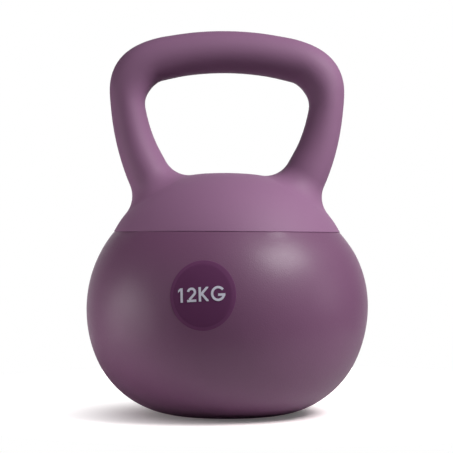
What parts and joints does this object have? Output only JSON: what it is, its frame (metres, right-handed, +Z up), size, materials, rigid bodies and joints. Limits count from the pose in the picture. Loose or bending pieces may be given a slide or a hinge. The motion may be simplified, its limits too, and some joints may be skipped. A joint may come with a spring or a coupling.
{
  "type": "kettlebell",
  "caption": "Soft-shelled kettlebell: round sand-filled vinyl body under a domed cap with a looped hand grip, plain weight badge in front and a filling stopper below.",
  "frame": {"origin": "on the floor under the middle of the body", "axes": "+Z up, the handle's loop in the XZ plane, the weight badge towards -Y"},
  "size_m": [0.2104, 0.2107, 0.2867],
  "materials": {
    "handle_vinyl": "matte soft vinyl",
    "shell_vinyl": "satin soft vinyl with a fine grain",
    "badge_vinyl": "satin welded patch",
    "marking_print": "matt print",
    "steel": "zinc plated",
    "core_plastic": "moulded",
    "clamp_iron": "black coated",
    "iron_sand": "loose grains",
    "collar_plastic": "moulded",
    "stopper_rubber": "matt"
  },
  "bodies": {
    "kettlebell": {"handle_skin": "handle_vinyl", "handle_tube": "steel", "leg_welds": "steel", "anchor_plate": "steel", "dome_core": "core_plastic", "centre_bolt": "steel", "clamp_plate": "clamp_iron", "bolt_washer": "steel", "lock_nut": "steel", "weight_badge": "badge_vinyl", "weight_marking": "marking_print", "soft_shell": "shell_vinyl", "iron_sand": "iron_sand", "fill_collar": "collar_plastic"},
    "stopper": {"fill_plug": "stopper_rubber", "plug_seal": "stopper_rubber"}
  },
  "joints": [
    {"name": "plug_draw", "type": "slide", "parent": "kettlebell", "child": "stopper", "axis": [0, 0, -1], "range_m": [0, 0.025]}
  ]
}
